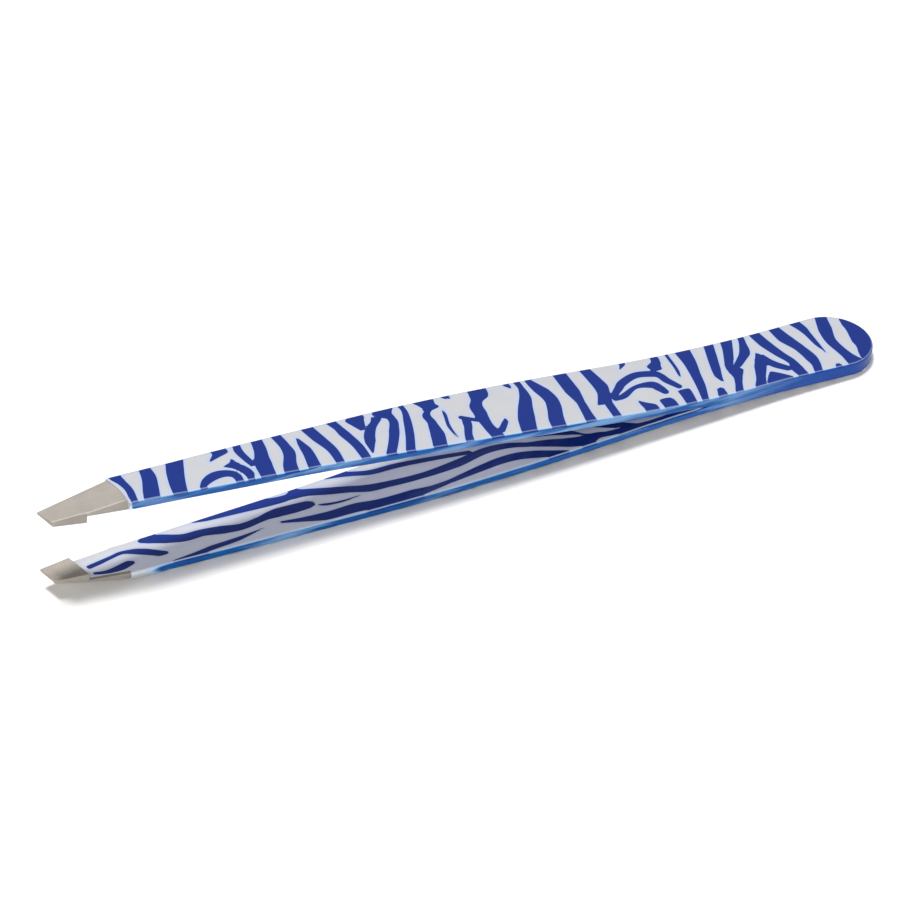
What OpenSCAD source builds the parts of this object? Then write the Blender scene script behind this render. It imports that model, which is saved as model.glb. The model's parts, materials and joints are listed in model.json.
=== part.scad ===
// Slant tweezers: two spring steel strips welded together at a rounded head, with an enamel
// coat all over except at the ground tips. The tweezers lie on the head and on the belly of the
// lower arm. The head points to +X, the tips to -X, and the origin is under the middle.

/* [Overall size] */
// Length from the rounded head to the tips
length = 95; // [90:1:100]
// Width across the rounded head
head_w = 9.1; // [8.6:0.1:9.6]
// Width at the waist in front of the head
waist_w = 8.6; // [8:0.1:9]
// Width of the arms at their widest
arm_w = 8.9; // [8.4:0.1:9.4]
// Width of the arms where the bare tips begin
tip_root_w = 4.4; // [4:0.1:5]
// Width of the bare tips at their end, with a coat's thickness added on each side
tip_w = 2.5; // [2:0.1:3]

/* [Strip and coat] */
// Thickness of the steel strip
steel_t = 0.75; // [0.65:0.05:0.85]
// Thickness of the enamel coat
coat_t = 0.1; // [0.08:0.01:0.12]

/* [Spring] */
// Distance from the head end to the end of the welded part
weld_end = 19; // [16:1:21]
// Distance from the head end to the line that each arm bends about
pivot_s = 34; // [32:1:38]
// Outside height of the tweezers where the bare tips begin
tip_root_h = 10; // [9:0.1:10.6]

/* [Ground tips] */
// Length of the bare steel tips
bare_len = 8; // [7:0.5:9]
// Gap between the two tips at rest
tip_gap = 7.1; // [6.8:0.1:7.5]
// Thickness of the steel at the very tip
edge_t = 0.25; // [0.2:0.05:0.4]
// Length of the gripping pad along the arm
pad_len = 3.3; // [2.5:0.1:4]
// Slant of the gripping edge
slant = 18; // [12:1:25]
// Slant of the front edge of the coat
coat_slant = 8; // [0:1:12]
// Height left between the closed pads
closed_gap = 0.04; // [0.02:0.01:0.1]
// Width of the bevel ground along the short side of each tip
bevel_w = 0.35; // [0.2:0.05:0.5]

/* [Welds] */
// Diameter of each weld nugget
weld_d = 3; // [2:0.5:4]
// Depth that each nugget reaches into either strip
weld_depth = 0.35; // [0.2:0.05:0.45]

/* [Hidden] */
$fn = 64;

STEEL = [0.70, 0.67, 0.63];
NUGGET = [0.50, 0.48, 0.47];
ENAMEL = [0.36, 0.45, 0.80];

// Half height of the closed head, and thickness of one coated arm.
head_half = steel_t + coat_t;
arm_t = steel_t + 2 * coat_t;
head_r = head_w / 2;
tip_s = length - bare_len;
step_s = 3;
wide = head_w + 4;
weld_s = [6.5, 13.5];

// Half width of the outline at each distance from the head end.
outline = [
    [head_r, head_r],
    [13, waist_w / 2],
    [22, arm_w / 2],
    [40, arm_w / 2 - 0.15],
    [55, arm_w / 2 - 0.6],
    [66, 3.2],
    [76, 2.8],
    [tip_s, tip_root_w / 2]];

// Distance from the middle plane to the outside of an arm at each distance from the head end.
bow = [
    [weld_end, head_half],
    [weld_end + 8, head_half + 0.35],
    [36, 2.05],
    [48, 3.1],
    [66, 4.25],
    [tip_s, tip_root_h / 2]];

// Smooth curve through a list of [distance, value] points, held level before the first.
function left(list, s, i = 0) = i + 2 < len(list) && s > list[i + 1][0] ? left(list, s, i + 1) : i;
function rise(list, i, j) = (list[j][1] - list[i][1]) / (list[j][0] - list[i][0]);
function slope(list, i) = i == 0 ? 0 : rise(list, i - 1, min(i + 1, len(list) - 1));
function along(list, s) =
    let (i = left(list, s), span = list[i + 1][0] - list[i][0])
    let (t = max(0, (s - list[i][0]) / span))
    (2 * t - 3) * t * t * (list[i][1] - list[i + 1][1]) + list[i][1]
    + span * t * (t - 1) * ((t - 1) * slope(list, i) + t * slope(list, i + 1));

// Outside and inside of the upper arm at distance s, and the half width of the coated outline.
function outside(s) = along(bow, min(s, tip_s));
function steel_inside(s) = outside(s) - coat_t - steel_t;
function half_w(s) = s < tip_s ? along(outline, s)
    : (tip_root_w + (tip_w - tip_root_w) * (s - tip_s) / bare_len) / 2;
function x_at(s) = length / 2 - s;

// Distances between two ends, spaced at most step_s apart.
function steps(from, to) =
    let (n = ceil((to - from) / step_s))
    [for (i = [0:n]) from + (to - from) * i / n];
function backwards(list) = [for (i = [len(list) - 1:-1:0]) list[i]];
heel_s = concat([0], steps(weld_end, pivot_s));
arm_s = steps(pivot_s, tip_s);

// Each arm bends about a line on its inner face. The pads are ground so that they meet flat.
pivot_z = outside(pivot_s) - arm_t;
pad_tip_z = tip_gap / 2;
edge_z = pad_tip_z + edge_t;
tip_inside = steel_inside(tip_s);
root_y = half_w(tip_s) - coat_t;
tip_y = half_w(length) - coat_t;
reach = length - pivot_s;
drop = pad_tip_z - pivot_z;
close_angle = atan(drop / reach)
    + asin((pivot_z - closed_gap / 2) / sqrt(reach * reach + drop * drop));

// Resting attitude: the head end and the belly of the lower arm touch the floor.
tilt = atan(max([for (s = arm_s) (outside(s) - head_half) / s]));
rest_x = (edge_z - head_half) / 2 * sin(tilt);
rest_z = length / 2 * sin(tilt) + head_half * cos(tilt);

module at_rest() {
    translate([rest_x, 0, rest_z]) rotate([0, tilt, 0]) children();
}

module mirrored(lower) {
    if (lower)
        mirror([0, 0, 1]) children();
    else
        children();
}

// A profile drawn in x and z, drawn out across the whole width.
module across() {
    rotate([90, 0, 0]) linear_extrude(height = wide, center = true) children();
}

// An outline drawn in x and y, drawn out over the whole height.
module upright() {
    linear_extrude(height = 3 * tip_root_h, center = true) children();
}

// Outline of a strip seen from above through a list of distances, set in from the coat.
module plan(stations, inset) {
    far = [for (s = stations) [x_at(s), half_w(s) - inset]];
    polygon(concat(far, backwards([for (p = far) [p.x, -p.y]])));
}

module heel_plan(inset) {
    plan(steps(head_r, pivot_s), inset);
    translate([x_at(head_r), 0]) circle(head_r - inset);
}

// Outline of the bare tip, which narrows in straight ground sides.
module tip_plan() {
    plan([tip_s, length], coat_t);
}

// Everything behind a line that slants across the strip and meets its far edge at far_s.
module behind(far_s, far_y, angle) {
    lead = tan(angle);
    polygon([[x_at(far_s) + (far_y - wide) * lead, wide],
             [length, wide],
             [length, -wide],
             [x_at(far_s) + (far_y + wide) * lead, -wide]]);
}

// Side of the upper strip through a list of distances, set in from the coat.
module side(stations, inset) {
    outer = [for (s = stations) [x_at(s), outside(s) - inset]];
    inner = [for (s = stations) [x_at(s), steel_inside(s) - coat_t + inset]];
    polygon(concat(outer, backwards(inner)));
}

module heel_strip(inset) {
    intersection() {
        upright() heel_plan(inset);
        across() side(heel_s, inset);
    }
}

module arm_strip(inset) {
    intersection() {
        upright() plan(arm_s, inset);
        across() side(arm_s, inset);
    }
}

module weld(s) {
    translate([x_at(s), 0, -weld_depth]) cylinder(h = 2 * weld_depth, d = weld_d);
}

module heel(lower) {
    color(STEEL) at_rest() difference() {
        mirrored(lower) heel_strip(coat_t);
        for (s = weld_s) weld(s);
    }
}

module upper_heel() heel(false);
module lower_heel() heel(true);

module rear_weld() {
    color(NUGGET) at_rest() weld(weld_s[0]);
}

module front_weld() {
    color(NUGGET) at_rest() weld(weld_s[1]);
}

// One skin over both heels, which also lines the crevice where the arms part.
module heel_coat() {
    color(ENAMEL) at_rest() difference() {
        union() {
            mirrored(false) heel_strip(0);
            mirrored(true) heel_strip(0);
        }
        mirrored(false) heel_strip(coat_t);
        mirrored(true) heel_strip(coat_t);
    }
}

// Side of the ground tip: the outer face falls to a thin edge, the inner one is the pad.
module tip_side() {
    polygon([[x_at(tip_s), outside(tip_s) - coat_t],
             [x_at(length), edge_z],
             [x_at(length), pad_tip_z],
             [x_at(tip_s), pad_tip_z - bare_len * tan(close_angle)]]);
}

// Space on the inner side of the strip behind the raised pad.
module relief() {
    intersection() {
        upright() behind(length - pad_len, tip_y, slant);
        across() translate([-length, -length]) square([2 * length, length + tip_inside]);
    }
}

// Wedge ground off the short side of the tip. The inner edge keeps its full width.
module bevel() {
    turn = atan((root_y - tip_y) / bare_len);
    translate([x_at(tip_s), -root_y, tip_inside])
        rotate([0, 0, -turn]) rotate([0, -90, 0]) linear_extrude(height = 2 * bare_len)
        polygon([[0, 0], [steel_t, bevel_w], [steel_t, -steel_t], [0, -steel_t]]);
}

module ground_tip() {
    difference() {
        intersection() {
            upright() tip_plan();
            upright() behind(length, tip_y, slant);
            across() tip_side();
        }
        relief();
        bevel();
    }
}

module arm(lower) {
    color(STEEL) at_rest() mirrored(lower) {
        arm_strip(coat_t);
        ground_tip();
    }
}

module upper_arm() arm(false);
module lower_arm() arm(true);

// Thin tongue of coat that covers the inner face as far as the pad.
module tongue() {
    intersection() {
        upright() tip_plan();
        upright() behind(length - pad_len, tip_y, slant);
        across() translate([x_at(length), tip_inside - coat_t]) square([bare_len, coat_t]);
    }
}

// Sleeve over the arm. Its front edge slants everywhere but on the inner face.
module arm_coat(lower) {
    color(ENAMEL) at_rest() mirrored(lower) {
        difference() {
            arm_strip(0);
            arm_strip(coat_t);
            difference() {
                across() translate([-length, tip_inside]) square(2 * length);
                upright() behind(tip_s, root_y, coat_slant);
            }
        }
        tongue();
    }
}

module upper_arm_coat() arm_coat(false);
module lower_arm_coat() arm_coat(true);

upper_heel();
lower_heel();
rear_weld();
front_weld();
heel_coat();
upper_arm();
lower_arm();
upper_arm_coat();
lower_arm_coat();
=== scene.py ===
"""Slant tweezers: the enamel coat with its zebra print and the ground steel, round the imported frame."""

import json
import math

import bmesh
import bpy
import numpy as np
from mathutils import Matrix, Vector
from mathutils.bvhtree import BVHTree


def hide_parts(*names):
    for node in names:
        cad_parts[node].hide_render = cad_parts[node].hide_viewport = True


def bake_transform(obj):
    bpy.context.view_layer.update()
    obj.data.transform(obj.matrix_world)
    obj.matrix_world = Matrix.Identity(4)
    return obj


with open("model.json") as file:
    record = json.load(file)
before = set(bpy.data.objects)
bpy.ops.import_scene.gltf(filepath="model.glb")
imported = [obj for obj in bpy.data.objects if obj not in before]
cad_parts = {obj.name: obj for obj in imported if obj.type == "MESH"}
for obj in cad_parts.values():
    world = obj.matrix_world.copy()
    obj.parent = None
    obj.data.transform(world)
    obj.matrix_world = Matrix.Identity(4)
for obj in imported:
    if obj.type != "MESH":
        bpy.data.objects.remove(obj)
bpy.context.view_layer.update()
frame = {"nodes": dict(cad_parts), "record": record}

MM = 0.001
ARMS = ("upper", "lower")

# ---------------------------------------------------------------------------------------------
# Arm coordinates, in millimetres: s runs along the middle plane from the head end to the tips,
# y across, positive on the long side of the slant, and w away from the middle plane.
# ---------------------------------------------------------------------------------------------
MOUNTS = {m["name"]: m for m in frame["record"]["mounts"]}


def mount_point(name):
    return np.array(MOUNTS[name]["pos_m"]) / MM


UP = np.array(MOUNTS["head_top"]["axis"])
TO_HEAD = np.array([UP[2], 0, -UP[0]])
MIDDLE = (mount_point("head_top") + mount_point("head_underside")) / 2
HEAD_HALF = np.linalg.norm(mount_point("head_top") - MIDDLE)


def node_points(name):
    mesh = frame["nodes"][name].data
    points = np.empty(3 * len(mesh.vertices))
    mesh.vertices.foreach_get("co", points)
    return points.reshape(-1, 3) / MM


HEAD_END = ((node_points("heel_coat") - MIDDLE) @ TO_HEAD).max()


def to_arm(points):
    """Row frame to (s, y, w), both in millimetres."""
    offset = points - MIDDLE
    return np.stack([HEAD_END - offset @ TO_HEAD, offset[:, 1], offset @ UP], axis=1)


TO_ROW = Matrix.Identity(4)
for axis, direction in enumerate((-TO_HEAD, np.array([0, 1, 0]), UP)):
    for row in range(3):
        TO_ROW[row][axis] = direction[row] * MM
for row in range(3):
    TO_ROW[row][3] = (MIDDLE + HEAD_END * TO_HEAD)[row] * MM


def place(s, y, w):
    return TO_ROW @ Vector((s, y, w))


def mesh_data(mesh, name):
    """Hands a bmesh over as mesh data."""
    data = bpy.data.meshes.new(name)
    mesh.to_mesh(data)
    mesh.free()
    return data


def add_object(name, data):
    item = bpy.data.objects.new(name, data)
    bpy.context.scene.collection.objects.link(item)
    return item


# ---------------------------------------------------------------------------------------------
# Sizes of the arms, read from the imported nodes
# ---------------------------------------------------------------------------------------------
COAT_T = 0.1
TOLERANCE = 0.01
ARM_T = HEAD_HALF + COAT_T

coat_points = to_arm(node_points("upper_arm_coat"))
tip_points = to_arm(node_points("upper_arm"))
HEAD_R = to_arm(node_points("heel_coat"))[:, 1].max()
TIP_S = coat_points[coat_points[:, 2] > coat_points[:, 2].max() - COAT_T, 0].max()
LENGTH = tip_points[:, 0].max()
corner = tip_points[tip_points[:, 0] > LENGTH - TOLERANCE]
TIP_Y = corner[:, 1].max()
EDGE_W = corner[:, 2].max()
PAD_S, _, PAD_W = to_arm(mount_point("upper_pad")[None])[0]
pad_axis = np.array(MOUNTS["upper_pad"]["axis"])
PAD_RISE = (pad_axis @ TO_HEAD) / (pad_axis @ UP)
SLANT = math.radians(18)
PAD_LEN = 3.3
PAD_STEP_S = LENGTH - PAD_LEN


def smoothstep(low, high, x):
    t = np.clip((x - low) / (high - low), 0, 1)
    return t * t * (3 - 2 * t)


def curve(stations, values):
    """Smooth curve through some stations, held level past both ends."""
    xs, ys = np.array(stations, float), np.array(values, float)
    slopes = np.gradient(ys, xs)

    def at(x):
        x = np.clip(x, xs[0], xs[-1])
        i = np.clip(np.searchsorted(xs, x) - 1, 0, len(xs) - 2)
        span = xs[i + 1] - xs[i]
        t = (x - xs[i]) / span
        ends = ys[i] + t * t * (3 - 2 * t) * (ys[i + 1] - ys[i])
        return ends + t * (t - 1) * span * ((t - 1) * slopes[i] + t * slopes[i + 1])

    return at


def cad_curve(stations, start, direction, part):
    """Curve of one coordinate of the coat, found by rays onto the CAD skin and smoothed."""
    points, faces = [], []
    for node in ("heel_coat", "upper_arm_coat"):
        mesh = frame["nodes"][node].data
        faces += [[len(points) + v for v in face.vertices] for face in mesh.polygons]
        points += to_arm(node_points(node)).tolist()
    skin = BVHTree.FromPolygons(points, faces)
    hits = [skin.ray_cast(Vector(start(s)), Vector(direction))[0] for s in stations]
    found = np.array([hit[part] for hit in hits])
    reach, spread = 6, 2.5
    bell = np.exp(-0.5 * (np.arange(-reach, reach + 1) / spread) ** 2)
    before = 2 * found[0] - found[reach:0:-1]
    after = 2 * found[-1] - found[-2:-reach - 2:-1]
    smooth = np.convolve(np.concatenate([before, found, after]), bell / bell.sum(), "valid")
    return curve(stations, smooth)


# Last distance at which the CAD coat goes all round, where the rays start and how many there are.
FRONT_S = TIP_S - 0.8
FAR = 30.0
FIRST_S = 1
BOW_RAYS = 86
WIDTH_RAYS = 82
outside = cad_curve(np.linspace(FIRST_S, FRONT_S, BOW_RAYS), lambda s: (s, 0, FAR), (0, 0, -1), 2)
coated_half = cad_curve(
    np.linspace(HEAD_R, FRONT_S, WIDTH_RAYS),
    lambda s: (s, FAR, float(outside(s)) - HEAD_HALF / 2), (0, -1, 0), 1)


def half_width(s):
    """Half width of the coated outline, which runs on in straight ground sides to the tip."""
    root = coated_half(TIP_S)
    tip = root + (TIP_Y + COAT_T - root) * (s - TIP_S) / (LENGTH - TIP_S)
    return np.where(s < TIP_S, coated_half(s), tip)


# ---------------------------------------------------------------------------------------------
# Mesh: half cross sections swept down the far side, round the head and back up the near side
# ---------------------------------------------------------------------------------------------
class Sections:
    """Points of a half section, from the middle of the outer face round to that of the inner face.
    The five stretches are face, corner, side, corner and face."""

    def __init__(self, face, bend, side):
        self.counts = (face, bend, side, bend, face + 1)
        ends = np.cumsum((0,) + self.counts)
        self.parts = [slice(a, b) for a, b in zip(ends[:-1], ends[1:])]
        self.total = ends[-1]

    def shares(self):
        """Distance of each point from the middle of its face, as a share of the half width."""
        share = np.ones(self.total)
        share[self.parts[0]] = np.arange(self.counts[0]) / self.counts[0]
        share[self.parts[4]] = 1 - np.arange(self.counts[4]) / (self.counts[4] - 1)
        return share

    def draw(self, half, outer, inner, outer_r, inner_r, cut):
        """y and w of the points; every argument has a row per station and a column per point."""
        length = np.hypot(cut, outer - inner)
        across, down = cut / length, (inner - outer) / length
        corner_y = half - cut
        y, w = np.empty_like(half), np.empty_like(half)

        def steps(part, whole):
            count = self.counts[part]
            return np.arange(count) / (count - 1 if whole else count)

        def bend(t, a, b, c):
            return (1 - t) ** 2 * a + 2 * t * (1 - t) * b + t * t * c

        outer_end = (corner_y - outer_r, outer)
        side_start = (corner_y + outer_r * across, outer + outer_r * down)
        side_end = (half - inner_r * across, inner - inner_r * down)
        inner_end = (half - inner_r, inner)
        lines = (
            (0 * half, outer), outer_end, side_start, side_end, inner_end, (0 * half, inner))
        controls = {1: (corner_y, outer), 3: (half, inner)}
        for part, columns in enumerate(self.parts):
            t = steps(part, part == 4)[None, :]
            for out, axis in ((y, 0), (w, 1)):
                a, b = lines[part][axis][:, columns], lines[part + 1][axis][:, columns]
                if part in controls:
                    out[:, columns] = bend(t, a, controls[part][axis][:, columns], b)
                else:
                    out[:, columns] = a + t * (b - a)
        return y, w


MERGE_DISTANCE = 1e-4


def welded(mesh, name):
    """Mesh data with its double points merged and its faces turned outwards."""
    bmesh.ops.remove_doubles(mesh, verts=mesh.verts, dist=MERGE_DISTANCE)
    bmesh.ops.recalc_face_normals(mesh, faces=mesh.faces)
    return mesh_data(mesh, name)


def closed_mesh(name, grid, sections):
    """Mesh through a grid of stations and section points, with both front ends filled in."""
    rows, columns = grid.shape[:2]
    mesh = bmesh.new()
    corners = [[mesh.verts.new(point) for point in row] for row in grid]
    for i in range(rows - 1):
        for j in range(columns - 1):
            near, ahead = corners[i], corners[i + 1]
            mesh.faces.new((near[j], ahead[j], ahead[j + 1], near[j + 1]))
    face = sections.counts[0]
    for end in (corners[0], corners[-1]):
        for k in range(face):
            mesh.faces.new((end[k], end[k + 1], end[columns - 2 - k], end[columns - 1 - k]))
        mesh.faces.new(end[face:columns - face])
    return welded(mesh, name)


def sweep(stations, turns, arrange, sections):
    """Grid of points along the far side, the round head and the near side.
    arrange(s, side) gives s, y and w of every point of the stations on one side."""
    far_s, far_y, far_w = arrange(stations[::-1], 1)
    near_s, near_y, near_w = arrange(stations, -1)
    far = np.stack([far_s, far_y, far_w], axis=2)
    near = np.stack([near_s, -near_y, near_w], axis=2)
    angles = np.linspace(0, math.pi, turns + 1)[1:-1, None]
    reach, height = near_y[:1], near_w[:1]
    head = np.stack([
        stations[0] - np.sin(angles) * reach,
        np.cos(angles) * reach,
        np.broadcast_to(height, (len(angles), sections.total))], axis=2)
    return np.concatenate([far, head, near])


# ---- Enamel coat ----
OUTER_BEND = 0.28
INNER_BEND = 0.28
# Stretch over which the inner edges open out where the arms part.
CREVICE_S = (21, 26)
STEP = 0.25
COAT = Sections(face=20, bend=5, side=3)
# Length of coat whose stations are drawn out to the front edge.
WARP = 6.0
# The front edge on the outer face: how far its middle lies behind the root of the bare tip, how
# much it leans forward towards the far side, and how much both its ends bow forward.
FRONT_BACK = 0.15
FRONT_LEAN = 0.2
FRONT_BOW = 0.05


def front_edge(y):
    """Distance s of the coat's front edge on the outer face."""
    root = float(coated_half(TIP_S))
    y = np.clip(y, -root, root)
    return TIP_S - FRONT_BACK + FRONT_LEAN * y + FRONT_BOW * y * y


def coat_sections(s, side):
    """Sections of the solid coat, whose front stations are drawn out to its front edge."""
    s = s[:, None] * np.ones(COAT.total)
    y = side * COAT.shares() * float(coated_half(TIP_S))
    to_front = smoothstep(FRONT_S - WARP, FRONT_S, s)
    s = s + to_front * (front_edge(y) - FRONT_S)
    outer = outside(s)
    under = np.maximum(0, outer - ARM_T)
    outer_bend = OUTER_BEND + (COAT_T - OUTER_BEND) * to_front
    inner_bend = smoothstep(*CREVICE_S, s) * (INNER_BEND + (COAT_T - INNER_BEND) * to_front)
    y, w = COAT.draw(half_width(s), outer, under, outer_bend, inner_bend, 0 * s)
    return s, y, w


def coat_solid():
    straight = np.arange(HEAD_R, FRONT_S, STEP)
    stations = np.append(straight, FRONT_S)
    turns = round(math.pi * HEAD_R / STEP)
    return closed_mesh("coat", sweep(stations, turns, coat_sections, COAT), COAT)


# ---- Tongue of the coat, which covers the inner face as far as the pad ----
TONGUE_START = TIP_S - 3
TONGUE_GAP = 0.03
TONGUE_INSET = COAT_T + 0.02
NEAR_INSET = 0.5
TONGUE_LIFT = 0.01
TONGUE_ROWS = 30
TONGUE_COLUMNS = 24
TONGUE_PASSES = 4


def tongue_solid():
    """Plate from inside the sleeve to a front edge that is parallel to the rear edge of the pad.
    The front edge and the width depend on each other, so they are worked out in a few passes."""
    share = np.linspace(-1, 1, TONGUE_COLUMNS)[None, :]
    run = np.linspace(0, 1, TONGUE_ROWS)[:, None]
    inset = TONGUE_INSET + (NEAR_INSET - TONGUE_INSET) * (share < 0)
    y = share * TIP_Y * np.ones_like(run)
    for _ in range(TONGUE_PASSES):
        front = PAD_STEP_S - math.tan(SLANT) * (TIP_Y - y) - TONGUE_GAP
        s = TONGUE_START + run * (front - TONGUE_START)
        y = share * (half_width(s) - inset)
    low = outside(s) - ARM_T + TONGUE_LIFT
    mesh = bmesh.new()
    levels = [
        [[mesh.verts.new(point) for point in zip(*row)] for row in zip(s, y, w)]
        for w in (low, low + COAT_T)]
    for level in levels:
        for i in range(TONGUE_ROWS - 1):
            for j in range(TONGUE_COLUMNS - 1):
                mesh.faces.new((level[i][j], level[i + 1][j], level[i + 1][j + 1], level[i][j + 1]))
    rims = []
    for level in levels:
        there = level[0] + [row[-1] for row in level[1:]]
        back = level[-1][-2::-1] + [row[0] for row in level[-2:0:-1]]
        rims.append(there + back)
    for k in range(len(rims[0])):
        mesh.faces.new((rims[0][k - 1], rims[0][k], rims[1][k], rims[1][k - 1]))
    bmesh.ops.recalc_face_normals(mesh, faces=mesh.faces)
    return mesh_data(mesh, "tongue")


# ---- Steel strip ----
STRIP = Sections(face=8, bend=3, side=3)
# Width of the bevel along the near side, where the coat ends and along the pad. The lower tip is
# ground almost square there. The bevel comes in under the coat.
ROOT_BEVEL = {"upper": 0.55, "lower": 0.1}
PAD_BEVEL = {"upper": 0.3, "lower": 0.1}
BEVEL_S = (TIP_S - 1.2, TIP_S - 0.6)
BEVEL_CHANGE = 1
EDGE_SOFT = 0.05
END_SOFT = 0.03
END_RUN = 0.02
# Where the sections begin to slant, and where they slant in full.
SLANT_S = (TIP_S - 3, TIP_S + 2)
HIDDEN_STEP = 1.5
SHOWN_STEP = 0.3
SHOWN_START = TIP_S - 3
# Length of the step up to the pad, and the stations kept clear of and close to the tip's end.
PAD_STEP_RUN = 0.04
PAD_MARGIN = 0.1
LAST_RUN = 0.03
STRIP_TURNS = 40


def pad_plane(s):
    return PAD_W + (s - PAD_S) * PAD_RISE


def strip_sections(s, side, arm):
    """Sections of an arm's strip. They slant with the gripping edge at the tip."""
    station = s[:, None] * np.ones(STRIP.total)
    slanting = smoothstep(*SLANT_S, station)
    half = half_width(station) - COAT_T
    s = station - slanting * math.tan(SLANT) * (TIP_Y - side * STRIP.shares() * half)
    half = half_width(s) - COAT_T
    root = outside(TIP_S) - COAT_T
    ground = root + (EDGE_W - root) * (s - TIP_S) / (LENGTH - TIP_S)
    outer = np.where(s > TIP_S, ground, outside(s) - COAT_T)
    flat = np.maximum(0, outside(s) - HEAD_HALF)
    inner = np.where(station > PAD_STEP_S + TOLERANCE, pad_plane(s), flat)
    end = smoothstep(LENGTH - END_RUN, LENGTH, station) * END_SOFT
    left = np.clip((outer - flat) / (HEAD_HALF - COAT_T), 0, 1)
    at_pad = smoothstep(PAD_STEP_S - BEVEL_CHANGE, PAD_STEP_S + BEVEL_CHANGE, station)
    bevel = ROOT_BEVEL[arm] * left * (1 - at_pad) + PAD_BEVEL[arm] * at_pad
    cut = bevel * smoothstep(*BEVEL_S, s) * (side < 0)
    soft = np.full_like(s, EDGE_SOFT)
    y, w = STRIP.draw(half - end, outer - end, inner + end, soft, soft * (inner > 0), cut)
    return s, y, w


def strip_solid(arm):
    hidden = np.arange(HEAD_R, SHOWN_START, HIDDEN_STEP)
    shown = np.arange(SHOWN_START, PAD_STEP_S, SHOWN_STEP)
    pad = np.arange(PAD_STEP_S + PAD_STEP_RUN, LENGTH - PAD_MARGIN, SHOWN_STEP)
    stations = np.concatenate([hidden, shown, [PAD_STEP_S], pad, [LENGTH - LAST_RUN, LENGTH]])
    grid = sweep(stations, STRIP_TURNS, lambda s, side: strip_sections(s, side, arm), STRIP)
    return closed_mesh("strip", grid, STRIP)


def combine(mesh, steps):
    """The mesh after some (operation, other mesh) steps, all in arm coordinates."""
    body = add_object("body", mesh)
    others = []
    for operation, tool in steps:
        other = add_object("tool", tool)
        modifier = body.modifiers.new(operation, "BOOLEAN")
        modifier.operation = operation
        modifier.solver = "MANIFOLD"
        modifier.object = other
        others.append(other)
    graph = bpy.context.evaluated_depsgraph_get()
    result = bpy.data.meshes.new_from_object(body.evaluated_get(graph))
    result.materials.clear()
    for item in others + [body]:
        bpy.data.objects.remove(item)
    return result


def weld_cutter(node):
    """The mesh of a CAD weld in arm coordinates."""
    mesh = bmesh.new()
    corners = [mesh.verts.new(point) for point in to_arm(node_points(node))]
    for face in frame["nodes"][node].data.polygons:
        mesh.faces.new([corners[v] for v in face.vertices])
    return welded(mesh, node)


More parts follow.
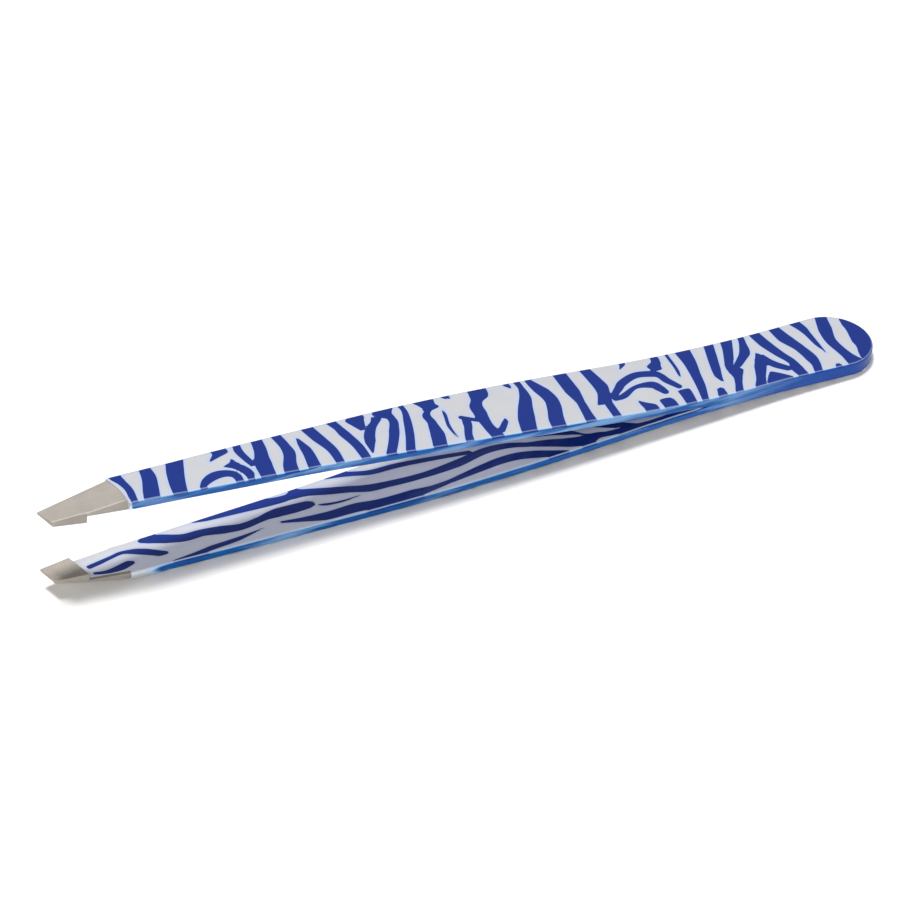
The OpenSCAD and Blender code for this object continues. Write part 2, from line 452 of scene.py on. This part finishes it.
# ---------------------------------------------------------------------------------------------
# Zebra print, in millimetres on the arm. A crossing stroke is a list of (y, s of its middle, half
# width along s), a running stroke a list of (s, y of its middle, half width along y), and a curl a
# list of (s, y, radius).
# ---------------------------------------------------------------------------------------------
OUTER_CROSSING = [
    [(3.4, 1.3, .2), (3, 1.1, .7), (2, .8, 1.2), (0, .9, 1.4), (-1, 1.15, 1.4), (-2, 1.35, 1.25),
     (-3, 2, .95), (-4, 2.6, .6)],
    [(4.4, 3.4, .7), (2, 4.15, .85), (0, 4.65, .65), (-2, 4.5, .6), (-3, 4.35, .65), (-4.3, 4.1, .95)],
    [(4.4, 6.8, .7), (3, 6.45, .55), (2, 6.4, .4), (0, 6.4, .3), (-2, 6.25, 0)],
    [(-3.9, 6.2, .2), (-4.4, 6.2, .5)],
    [(4.4, 9.45, .65), (2, 9.15, .85), (0, 8.55, .65), (-2, 8.3, .7), (-3, 8.35, .55), (-4.4, 8.8, .5)],
    [(4.4, 12, .65), (2, 11.7, .7), (0, 11.2, .6), (-2, 10.6, .5), (-3, 10.7, .7), (-4.3, 10.6, .6)],
    [(1.1, 13.5, .05), (0, 13.55, .75), (-1, 14.1, .8), (-3, 15.2, .6), (-4.3, 16, .7)],
    [(.5, 13.2, .3), (-1, 12.9, .6), (-2, 12.25, .7), (-3, 11.3, .6)],
    [(-2.4, 13.7, .05), (-3, 13.6, .7), (-4.3, 13.4, 1.8)],
    [(4.4, 15.4, .75), (3, 15.95, .65), (1, 16.9, .6), (0, 17.4, .5), (-1, 17.15, .9), (-2, 17.45, .55),
     (-3, 17.95, .45), (-4.3, 18.6, .5)],
    [(4.4, 13.6, .35), (3, 14.05, .45), (1, 15.1, .8), (.3, 15.9, .7), (-.5, 16.8, .6)],
    [(4.4, 17.6, .6), (2, 18.4, .6), (0, 19.05, .55), (-1, 19.35, .45), (-2.5, 19.4, 0)],
    [(4.4, 20.9, .95), (2, 21.15, .75), (0, 21.6, .6), (-2, 22.05, .55), (-4.4, 22.8, .4)],
    [(-3.1, 20.3, .4), (-4.3, 20.6, .6)],
    [(4.4, 22.9, .2), (1, 23.2, .2), (0, 23.45, .08)],
    [(4.4, 24.45, .45), (3.5, 24.65, .55), (3, 25.1, .9), (2, 25.2, .6)],
    [(4.4, 28.3, .4), (3.9, 28.5, .35), (3.3, 29.1, .1)],
    [(-2.4, 29.9, .1), (-2.9, 29.6, .4), (-3.4, 29.2, .8), (-4.4, 29.15, .85)],
    [(-2.9, 26.9, .7), (-3.2, 26.85, .85), (-4.4, 26.85, .85)],
    [(-2, 24.2, .7), (-2.2, 24.2, .75), (-4.4, 24.45, .65)],
    [(4.4, 32.95, .65), (2, 32.7, .8), (1, 32.65, .85), (0, 32.85, .75), (-2, 33.7, .9)],
    [(-1.8, 33.25, .5), (-4.3, 33.4, .5)],
    [(4.4, 36, .8), (1, 36.05, .85), (-1, 36.1, .5), (-3, 36.35, .55), (-4.3, 36.5, .65)],
    [(4.4, 39.95, .3), (3, 39.55, .65), (2, 39.25, .85), (0, 39, .8), (-1, 39.25, .85), (-3, 40, .9),
     (-4.3, 40.3, .85)],
    [(4.4, 41.2, .4), (3, 41.15, .35), (1, 41.65, .75), (0, 42.15, .85), (-2, 43, 1), (-4.3, 43.75, .9)],
    [(4.4, 42.6, .4), (3.7, 42.4, .35), (3.2, 42.2, .1)],
    [(4.3, 45.9, 1.1), (3, 46.1, 1.1), (2.5, 46.3, 1), (2, 46.85, .75), (0, 47.35, .75), (-2, 47.5, .6),
     (-4.3, 47.2, .75)],
    [(-1.4, 45.2, .05), (-2, 45.5, .4), (-3, 46.3, .5), (-3.6, 46.8, .5)],
    [(.1, 49.5, .1), (-1, 49.4, .5), (-3, 50.15, .45), (-4.2, 50.5, .5)],
    [(4.2, 49.6, .5), (3.8, 49.7, .5), (3.4, 49.5, .3)],
    [(1.9, 50.9, .08), (1, 51, .2), (-1, 51.45, .2), (-3, 51.4, .12)],
    [(3.9, 52.3, 1.3), (3, 52.1, .9), (2.3, 52, .95), (2, 52.45, .45), (0, 52.9, .5), (-2, 53.2, .8),
     (-4, 53.8, .8)],
    [(3.9, 54.9, .35), (3, 54.8, .3), (1, 55.25, .45), (-1, 55.9, .5), (-3.9, 57.1, .55)],
    [(3.8, 56.7, 1.2), (3, 57.2, 1.1), (2, 56.65, .45), (0, 57.2, .6), (-2, 58.2, .6), (-3.8, 59.3, .6)],
    [(2.7, 58, .6), (2, 58.4, .6), (1.5, 58.95, .65), (0, 59.95, .65), (-1, 60.3, .6), (-2.8, 60.8, .1)],
    [(3.6, 59.9, .7), (3, 60.3, 1.1), (2, 60.3, .7), (1, 60.2, .3)],
    [(3.5, 63, .6), (2, 62.5, .5), (1, 62.3, .6), (-1, 61.85, .55), (-3.6, 61.75, .5)],
    [(3.4, 65.7, .7), (1, 65.1, .7), (-1, 64.55, .55), (-3.4, 64.55, .45)],
    [(1.9, 67.2, .1), (1, 67.15, .35), (0, 67.05, .55), (-3.2, 67.3, .7)],
    [(3.2, 69.15, .55), (1, 68.85, .55), (0, 68.85, .65), (-2, 69.55, .75), (-3.1, 69.8, .8)],
    [(3.1, 71.2, .6), (1, 71.5, .7), (0, 71.8, .8), (-1, 72, .9), (-3, 72.2, .8)],
    [(3, 73.4, .4), (2, 73.55, .45), (0, 73.2, .4), (-.9, 73, .3)],
    [(.9, 74.7, .08), (.4, 74.8, .3), (0, 75.05, .85), (-.6, 74.5, .65), (-2, 73.9, .5), (-2.9, 74.05, .3)],
    [(2.9, 75.55, .85), (1.9, 75.6, .85), (1.5, 76.3, .45), (1.1, 76.9, .05)],
    [(2.7, 80.1, .95), (1, 80.65, .95), (-1, 81.15, .85), (-2.5, 81.4, .75)],
    [(2.4, 83.4, .6), (1, 83.45, .75), (-1, 83.95, .85), (-2.3, 84.3, .85)],
    [(2.2, 86.7, .7), (1, 86.25, .45), (0, 86, .4), (-2.2, 86.1, .4)],
]
OUTER_CURLS = [
    [(32.3, -1.1, .35), (31, .1, .45), (30, 1, .5), (28, 1.85, .5), (26, 1.55, .55), (25.4, 1, .5),
     (25.1, 0, .5), (24.4, -1.3, .4)],
    [(32.2, -1.5, .3), (31, -1.2, .4), (29, -.1, .3), (27.1, -.2, .6), (26.6, -.9, .6), (26.3, -1.7, .45)],
    [(79, -2.3, .3), (78.3, -1.6, .5), (77.3, -1.1, .6), (76.3, -1.05, .55), (75.5, -1.4, .5),
     (75.2, -2, .45), (75.2, -2.9, .4)],
    [(49.6, 0, .3), (48.2, -.9, .3)],
]
INNER_RUNNING = [
    [(79.3, 2.65, .08), (77, 2.45, .4), (75, 2.4, .5), (70, 2.15, .6), (68, 2.1, .5), (67.2, 2.3, .8),
     (66, 2, .6), (64, 1.3, .6), (62, .65, .55), (60, -.1, .6), (58, -.4, .5), (54, -.75, .45),
     (50, -.6, .6), (46, -.1, .5), (44, -.45, .45), (42, -1.3, .4), (40, -2.1, .65), (38, -3, .8),
     (36, -3.45, .8), (35, -3.3, .5), (34, -3.55, .4), (32, -3.8, .4), (29, -4.15, .45), (25, -4.3, .7),
     (21, -4.3, .6)],
    [(84.4, 1.95, .3), (83.5, 1.8, .6), (82, 1.3, .75), (80, .6, .6), (78, .55, .55), (76, .15, .65),
     (74, -.2, .5), (72, .05, .45), (71, .25, .55), (70, .3, .7), (68, .2, .7), (66.5, .15, .6),
     (65.9, .1, .3)],
    [(65.7, -.3, .08), (65, -.55, .2), (63, -.85, .15), (61, -.75, .05)],
    [(70.2, -1.2, .15), (68, -1.75, .35), (66, -2.2, .6), (62, -2.4, .7), (60, -2.75, .65), (56, -2.95, .65),
     (54, -3, .4), (52, -2.85, .3), (48, -2.4, .5), (46, -2.25, .55), (44, -2.4, .6), (42, -3.05, .65),
     (40, -3.9, .5), (39, -4.3, .4), (38, -4.7, .3)],
    [(84, -2.4, .1), (80, -2.2, .25), (78, -2, .35), (75, -1.8, .3), (72, -1.3, .04)],
    [(66, 3.5, .1), (64, 3.4, .25), (61, 2.85, .4), (59, 2.15, .4), (56, 1.9, .4), (52, 1.25, .35),
     (48, .4, .3)],
    [(90.4, .1, .3), (89, .4, .3), (88, .65, .25), (86.3, .95, .25), (85.5, .7, .4), (85, .5, .5),
     (84, 0, .55), (83.2, -.5, .55), (82.2, -.85, .2)],
    [(90.2, -.95, .2), (89, -1.2, .25), (87, -1, .5), (86.4, -.85, .45), (85.8, -.85, .2)],
    [(44, 2.4, .1), (40, 1.6, .9), (36, .6, 1.3), (32, -.2, 1.5), (28, -.8, 1.4), (24, -1.2, .8),
     (21, -1.4, .1)],
    [(47, 3.7, .1), (43, 3.4, .4), (38, 2.9, .5), (33, 2.4, .5), (28, 1.9, .4), (24, 1.6, .1)],
    [(38, 4.3, .1), (34, 3.9, .4), (29, 3.5, .5), (24, 3.2, .4), (21, 3, .1)],
    [(43, .7, .1), (41, -.1, .4), (39, -.8, .4), (38, -1.3, .4), (37, -1.8, .35), (36.2, -2.5, .15),
     (35.5, -2.9, .2)],
    [(35.5, -1.4, .1), (34, -2.1, .35), (33, -2.6, .45), (32, -2.95, .5), (31.4, -3.3, .4), (30.5, -3.7, .2)],
    [(31, -1.9, .1), (29, -2.2, .4), (26, -2.7, .5), (23, -3, .5), (21, -3.1, .1)],
]


DISCS_PER_KNOT = 8
# Reach of the central difference that gives a stroke's slope.
NUDGE = 0.05


def sheer_distance(stroke, along_it, across_it):
    """Distance outside a stroke whose middle is a curve of one coordinate."""
    places, middles, halves = np.array(sorted(stroke)).T
    middle = curve(places, middles)
    here = np.clip(along_it, places[0], places[-1])
    slope = (middle(here + NUDGE) - middle(here - NUDGE)) / (2 * NUDGE)
    aside = np.abs(across_it - middle(here)) - np.interp(here, places, halves)
    aside /= np.hypot(1, slope)
    past = np.abs(along_it - here)
    return np.where(past > 0, np.hypot(np.maximum(aside, 0), past), aside)


def curl_distance(stroke, s, y):
    """Distance outside a chain of discs with smoothly changing places and radii."""
    knots = np.array(stroke, float)
    count = np.arange(len(knots))
    fine = np.linspace(0, len(knots) - 1, DISCS_PER_KNOT * len(knots))
    path = np.stack([curve(count, knots[:, k])(fine) for k in range(3)], axis=1)
    nearest = np.full(len(s), np.inf)
    for a, b in zip(path[:-1], path[1:]):
        run = b[:2] - a[:2]
        t = ((s - a[0]) * run[0] + (y - a[1]) * run[1]) / max(run @ run, 1e-9)
        t = np.clip(t, 0, 1)
        gap = np.hypot(s - a[0] - t * run[0], y - a[1] - t * run[1])
        nearest = np.minimum(nearest, gap - (a[2] + t * (b[2] - a[2])))
    return nearest


def outer_print(s, y):
    distance = np.full(len(s), np.inf)
    for stroke in OUTER_CROSSING:
        distance = np.minimum(distance, sheer_distance(stroke, y, s))
    for stroke in OUTER_CURLS:
        distance = np.minimum(distance, curl_distance(stroke, s, y))
    return distance


def inner_print(s, y):
    distance = np.full(len(s), np.inf)
    for stroke in INNER_RUNNING:
        distance = np.minimum(distance, sheer_distance(stroke, s, y))
    return distance


WHITE_BORDER = 0.25
BAND_FADE = {"upper": 0.5, "lower": 4.5}
PRINT_INSET = 0.3
# Stretch over which the two coats part, and the ranges over which the blue edge and the paler
# inside come in. The paler inside is painted light, which lifts the shade the other arm casts.
PARTING_S = (CREVICE_S[0] - 2, CREVICE_S[1] - 2)
BAND_START = -0.45
BAND_FULL = 0.4
INSIDE_DEPTH = (0.35, 0.65)
INSIDE_INSET = (0.3, 2.2)
STRIPE_FADE = 2


def paint(mesh, arm):
    """Writes three values into the mesh, in arm coordinates: the distance outside a stripe, the
    share of the blue edge, and the share of the paler inside, which fades to the far side. The
    paler inside is painted light: it lifts the shade that the other arm casts on the inner face."""
    co = np.empty(3 * len(mesh.vertices))
    mesh.vertices.foreach_get("co", co)
    s, y, w = co.reshape(-1, 3).T
    outer = outside(s)
    depth = outer - w
    fused = 1 - smoothstep(*PARTING_S, s)
    height = ARM_T + (2 * outer - ARM_T) * fused
    on_outer = depth < height / 2
    rounded = np.hypot(np.maximum(HEAD_R - s, 0), y)
    inset = np.where(s < HEAD_R, HEAD_R - rounded, half_width(s) - np.abs(y))
    below = np.minimum(depth, height - depth)
    face_y = np.sign(y) * np.minimum(np.abs(y), half_width(np.maximum(s, HEAD_R)) - PRINT_INSET)
    shrink = np.minimum(1, (HEAD_R - PRINT_INSET) / np.maximum(rounded, 1e-6))
    in_head = s < HEAD_R
    print_s = np.where(in_head, HEAD_R - (HEAD_R - s) * shrink, s)
    print_y = np.where(in_head, y * shrink, face_y)
    side = 1 if arm == "upper" else -1
    outer_stripes = outer_print(print_s, side * print_y)
    inner_stripes = inner_print(print_s, -side * print_y)
    stripes = np.where(on_outer, outer_stripes, inner_stripes)
    border = front_edge(y) - s
    stripes = np.where(on_outer, np.maximum(stripes, WHITE_BORDER - border), stripes)
    edge = below - np.maximum(inset, 0)
    faded = 1 - smoothstep(0, BAND_FADE[arm], border)
    band = smoothstep(BAND_START, BAND_FULL, edge) * (1 - faded)
    stripes += STRIPE_FADE * faded * smoothstep(BAND_START, 0, edge) * (arm == "lower")
    # Painted light: paler inner face against the other arm's shade, fading out near the far edge.
    to_far_side = np.where(y > 0, smoothstep(*INSIDE_INSET, inset), 1)
    inside = smoothstep(*INSIDE_DEPTH, depth / height) * to_far_side
    for name, values in (("stripes", stripes), ("band", band), ("inside", inside)):
        layer = mesh.attributes.new(name, "FLOAT", "POINT")
        layer.data.foreach_set("value", values.astype(np.float32))


# ---------------------------------------------------------------------------------------------
# Materials
# ---------------------------------------------------------------------------------------------
class Nodes:
    """Short hand for building one node material."""

    def __init__(self, name):
        self.material = bpy.data.materials.new(name)
        self.material.use_nodes = True
        self.tree = self.material.node_tree
        self.shader = self.tree.nodes["Principled BSDF"]
        self.place = self.add("ShaderNodeTexCoord").outputs["Object"]

    def add(self, kind, **inputs):
        node = self.tree.nodes.new(kind)
        for name, value in inputs.items():
            self.feed(node.inputs[name.replace("_", " ")], value)
        return node

    def feed(self, socket, value):
        if isinstance(value, bpy.types.NodeSocket):
            self.tree.links.new(value, socket)
        else:
            socket.default_value = value

    def attribute(self, name):
        node = self.add("ShaderNodeAttribute")
        node.attribute_name = name
        return node.outputs["Fac"]

    def math(self, operation, *values):
        node = self.add("ShaderNodeMath")
        node.operation = operation
        for socket, value in zip(node.inputs, values):
            self.feed(socket, value)
        return node.outputs[0]

    def ramp(self, factor, stops):
        node = self.add("ShaderNodeValToRGB", Fac=factor)
        points = node.color_ramp.elements
        while len(points) < len(stops):
            points.new(0.5)
        for point, (position, colour) in zip(points, stops):
            point.position = position
            point.color = (*colour, 1)
        return node.outputs["Color"]

    def mix(self, factor, a, b, blend="MIX"):
        node = self.add("ShaderNodeMix")
        node.data_type = "RGBA"
        node.blend_type = blend
        self.feed(node.inputs[0], factor)
        for socket, value in ((6, a), (7, b)):
            self.feed(node.inputs[socket], (*value, 1) if isinstance(value, tuple) else value)
        return node.outputs[2]

    def noise(self, scale, detail=4.0, stretch=(1, 1, 1), rough=0.5):
        moved = self.add("ShaderNodeMapping", Vector=self.place, Scale=stretch)
        node = self.add(
            "ShaderNodeTexNoise",
            Vector=moved.outputs[0], Scale=scale, Detail=detail, Roughness=rough)
        return node.outputs["Fac"]

    def bump(self, height, strength, distance):
        node = self.add("ShaderNodeBump", Height=height, Strength=strength, Distance=distance)
        self.feed(self.shader.inputs["Normal"], node.outputs["Normal"])


def srgb(red, green, blue):
    """Linear colour of 0 to 255 display values."""
    def one(value):
        value /= 255
        return value / 12.92 if value <= 0.04045 else ((value + 0.055) / 1.055) ** 2.4
    return tuple(one(value) for value in (red, green, blue))


BLACK = (0, 0, 0)
WHITE = (1, 1, 1)
GROUND = srgb(190, 191, 195)
# Painted light: the inner faces are painted paler to lift the shade of the other arm.
PAINTED_LIGHT_INNER_GROUND = srgb(219, 222, 235)
# Painted highlight: the pale line along the near creases of the coat.
PAINTED_CREASE_HIGHLIGHT = srgb(212, 232, 252)
HALO = srgb(172, 188, 218)
SKY = srgb(130, 178, 226)
EDGE_BLUE = srgb(0, 86, 164)
STRIPE = srgb(20, 46, 125)
ROYAL = srgb(2, 34, 122)
DEEP = srgb(0, 58, 146)
HEAD_BLUE = srgb(0, 60, 155)
STEEL = srgb(167, 160, 152)
PAD_STEEL = srgb(178, 170, 160)
HATCH_TURN = math.radians(38)


def enamel():
    """Off-white ground, made paler on the inner faces as painted light, inked stripes with a pale
    halo, and a streaky blue edge that is royal blue round the head, with painted sky-blue
    reflections and a painted highlight along the near creases."""
    n = Nodes("zebra_enamel")
    band = n.attribute("band")
    inside = n.attribute("inside")
    streaks = n.noise(900, 3, stretch=(0.3, 1, 1))
    band = n.math("ADD", band, n.math("MULTIPLY", n.math("SUBTRACT", streaks, 0.5), 0.25))
    # Painted light: the paler inner ground lifts the shade between the arms.
    ground = n.mix(inside, GROUND, PAINTED_LIGHT_INNER_GROUND)
    pale = n.ramp(band, [(0.25, SKY), (0.5, SKY), (0.75, EDGE_BLUE), (1.0, EDGE_BLUE)])
    pale = n.mix(n.ramp(band, [(0.22, BLACK), (0.48, WHITE)]), ground, pale)
    dark = n.ramp(band, [(0.0, STRIPE), (0.3, STRIPE), (0.5, ROYAL), (0.75, DEEP), (1.0, EDGE_BLUE)])
    distance = n.math("MULTIPLY_ADD", n.attribute("stripes"), 0.5, 0.5)
    halo = n.ramp(distance, [(0.50, WHITE), (0.56, (0.7, 0.7, 0.7)), (0.68, BLACK)])
    on_face = n.ramp(band, [(0.2, WHITE), (0.5, BLACK)])
    on_outside = n.math("SUBTRACT", 1, n.math("MULTIPLY", inside, 0.7))
    pale = n.mix(n.math("MULTIPLY", n.math("MULTIPLY", halo, on_face), on_outside), pale, HALO)
    inked = n.ramp(distance, [(0.49, WHITE), (0.51, BLACK)])
    colour = n.mix(inked, pale, dark)
    # Painted reflection: sky-blue streaks in the blue edge, left off round the head.
    painted_reflection = n.ramp(n.noise(1000, 3, stretch=(0.1, 1, 1)), [(0.49, BLACK), (0.67, (0.8, 0.8, 0.8))])
    on_side = n.ramp(band, [(0.3, BLACK), (0.6, WHITE)])
    place = n.add("ShaderNodeSeparateXYZ", Vector=n.place)
    off_head = n.ramp(n.math("MULTIPLY", place.outputs["X"], 20), [(0.5, WHITE), (0.8, BLACK)])
    near = n.math("LESS_THAN", place.outputs["Y"], 0)
    at_head = n.math("MULTIPLY", n.math("SUBTRACT", 1, off_head), on_side)
    colour = n.mix(n.math("MULTIPLY", at_head, 0.8), colour, HEAD_BLUE)
    colour = n.mix(n.math("MULTIPLY", n.math("MULTIPLY", painted_reflection, on_side), off_head), colour, SKY)
    # Painted highlight: pale line on the near-side creases, stronger inside; far-side creases deep blue.
    crease_highlight = n.ramp(band, [(0.15, BLACK), (0.4, WHITE), (0.62, BLACK)])
    strength = n.math("MULTIPLY_ADD", inside, 0.7, 0.3)
    colour = n.mix(n.math("MULTIPLY", crease_highlight, strength), colour, n.mix(near, DEEP, PAINTED_CREASE_HIGHLIGHT))
    mottle = n.ramp(n.noise(450, 5), [(0.3, (0.955, 0.955, 0.965)), (0.7, WHITE)])
    colour = n.mix(1.0, colour, mottle, "MULTIPLY")
    n.feed(n.shader.inputs["Base Color"], colour)
    n.feed(n.shader.inputs["Roughness"], 0.4)
    n.feed(n.shader.inputs["Specular IOR Level"], 0.15)
    n.feed(n.shader.inputs["Coat Weight"], n.math("MULTIPLY_ADD", on_side, -0.45, 0.6))
    n.feed(n.shader.inputs["Coat Roughness"], 0.06)
    n.bump(n.noise(1600, 3), 0.06, 0.0002)
    return n.material


def ground_steel(name, colour, hatch):
    """Satin steel with fine lines along the arm, and with slanting grooves where it is hatched."""
    n = Nodes(name)
    lines = n.noise(2200, 6, stretch=(0.5, 2, 2), rough=0.7)
    cloud = n.noise(500, 4)
    tone = n.ramp(cloud, [(0.3, tuple(0.93 * c for c in colour)), (0.7, tuple(1.04 * c for c in colour))])
    tone = n.mix(0.5, tone, n.ramp(lines, [(0.3, (0.8, 0.8, 0.8)), (0.7, WHITE)]), "MULTIPLY")
    height = lines
    if hatch:
        turned = n.add("ShaderNodeMapping", Vector=n.place, Rotation=(0, 0, HATCH_TURN))
        wave = n.add("ShaderNodeTexWave", Vector=turned.outputs[0], Scale=1100, Distortion=3.5, Detail=3)
        height = n.math("ADD", n.math("MULTIPLY", wave.outputs["Fac"], 0.9), n.math("MULTIPLY", lines, 0.5))
        grooves = n.ramp(wave.outputs["Fac"], [(0.2, (0.84, 0.84, 0.83)), (0.75, WHITE)])
        tone = n.mix(0.75, tone, grooves, "MULTIPLY")
    n.feed(n.shader.inputs["Base Color"], tone)
    n.feed(n.shader.inputs["Metallic"], 0.35)
    n.feed(n.shader.inputs["Roughness"], n.math("MULTIPLY_ADD", lines, 0.15, 0.42))
    n.bump(height, 0.35 if hatch else 0.15, 0.00003)
    return n.material


def weld_metal():
    n = Nodes("weld_metal")
    grain = n.noise(2500, 5)
    tone = n.ramp(grain, [(0.3, (0.14, 0.13, 0.13)), (0.7, (0.24, 0.22, 0.21))])
    n.feed(n.shader.inputs["Base Color"], tone)
    n.feed(n.shader.inputs["Metallic"], 0.9)
    n.feed(n.shader.inputs["Roughness"], 0.6)
    n.bump(grain, 0.4, 0.00005)
    return n.material


# ---------------------------------------------------------------------------------------------
# The pieces
# ---------------------------------------------------------------------------------------------
SHARP = math.radians(32)


def add_piece(name, mesh, arm, materials):
    """Turns a mesh in arm coordinates into a shaded piece in the row frame, mirrored for the lower arm."""
    flip = Matrix.Diagonal((1, 1, 1 if arm == "upper" else -1, 1))
    mesh.transform(TO_ROW @ flip)
    if arm == "upper":
        mesh.flip_normals()
    mesh.shade_smooth()
    mesh.set_sharp_from_angle(angle=SHARP)
    for material in materials:
        mesh.materials.append(material)
    piece = add_object(name, mesh)
    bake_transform(piece)
    return piece


# The pad's faces lie ahead of its slanted rear edge, look at the other arm and are on its plane.
PAD_REAR_S = PAD_STEP_S - 1.2
PAD_FACING = -0.9
PAD_OFF_PLANE = 0.05


def mark_pad(mesh):
    """Gives the faces of the gripping pad the second material."""
    for face in mesh.polygons:
        s, _, w = face.center
        on_plane = w < pad_plane(s) + PAD_OFF_PLANE
        face.material_index = int(s > PAD_REAR_S and face.normal.z < PAD_FACING and on_plane)


WELDS = ("rear_weld", "front_weld")
enamel_finish = enamel()
steel_finish = ground_steel("ground_steel", STEEL, hatch=False)
pad_finish = ground_steel("hatched_steel", PAD_STEEL, hatch=True)

for arm in ARMS:
    strip = strip_solid(arm)
    skin = combine(coat_solid(), [("UNION", tongue_solid()), ("DIFFERENCE", strip.copy())])
    paint(skin, arm)
    piece = add_piece(arm + "_coat", skin, arm, [enamel_finish])
    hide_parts("heel_coat", arm + "_arm_coat")
    metal = combine(strip, [("DIFFERENCE", weld_cutter(node)) for node in WELDS])
    mark_pad(metal)
    piece = add_piece(arm + "_strip", metal, arm, [steel_finish, pad_finish])
    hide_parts(arm + "_heel", arm + "_arm")

weld_finish = weld_metal()
for node in WELDS:
    slots = frame["nodes"][node].data.materials
    slots.clear()
    slots.append(weld_finish)

# ---------------------------------------------------------------------------------------------
# Floor, light and camera
# ---------------------------------------------------------------------------------------------
FLOOR_SIZE = 6.0
VIEW_TURN = math.radians(-25.21)
VIEW_RISE = math.radians(39.8)
VIEW_DISTANCE = 0.3
VIEW_ASIDE = -0.00282
VIEW_LIFT = 0.00121
LENS = 114.4
SKY_STRENGTH = 0.2
FLOOR_TONES = ((0.94, 0.925, 0.9), (0.96, 0.945, 0.92))


def seen_from(turn, rise):
    """Direction from the origin to what stands at a turn from the near side and at a height."""
    return Vector((math.sin(turn) * math.cos(rise), -math.cos(turn) * math.cos(rise), math.sin(rise)))


def floor():
    mesh = bmesh.new()
    bmesh.ops.create_grid(mesh, x_segments=8, y_segments=8, size=FLOOR_SIZE / 2)
    ground = add_object("floor", mesh_data(mesh, "floor"))
    n = Nodes("studio_floor")
    tone = n.ramp(n.noise(3, 2), [(0.3, FLOOR_TONES[0]), (0.7, FLOOR_TONES[1])])
    n.feed(n.shader.inputs["Base Color"], tone)
    n.feed(n.shader.inputs["Roughness"], 0.8)
    n.feed(n.shader.inputs["Specular IOR Level"], 0.1)
    ground.data.materials.append(n.material)


def soft_box(name, azimuth, elevation, distance, size, power):
    """Square area light aimed at the origin."""
    away = seen_from(math.radians(azimuth), math.radians(elevation))
    data = bpy.data.lights.new(name, "AREA")
    data.size = size
    data.energy = power
    lamp = add_object(name, data)
    lamp.location = away * distance
    lamp.rotation_euler = away.to_track_quat("Z", "Y").to_euler()


def sky():
    world = bpy.data.worlds.new("studio")
    bpy.context.scene.world = world
    world.use_nodes = True
    back = world.node_tree.nodes["Background"]
    back.inputs["Color"].default_value = (*WHITE, 1)
    back.inputs["Strength"].default_value = SKY_STRENGTH


def camera():
    right = Vector((math.cos(VIEW_TURN), math.sin(VIEW_TURN), 0))
    back = seen_from(VIEW_TURN, VIEW_RISE)
    data = bpy.data.cameras.new("camera")
    data.lens = LENS
    data.clip_start = 0.01
    eye = add_object("camera", data)
    eye.location = VIEW_ASIDE * right + VIEW_LIFT * back.cross(right) + VIEW_DISTANCE * back
    eye.rotation_euler = back.to_track_quat("Z", "Y").to_euler()
    bpy.context.scene.camera = eye


floor()
soft_box("top", azimuth=-165, elevation=78, distance=2.1, size=0.5, power=43)
soft_box("front", azimuth=-28, elevation=38, distance=2.7, size=0.9, power=28)
sky()
camera()
bpy.context.scene.view_settings.view_transform = "Standard"
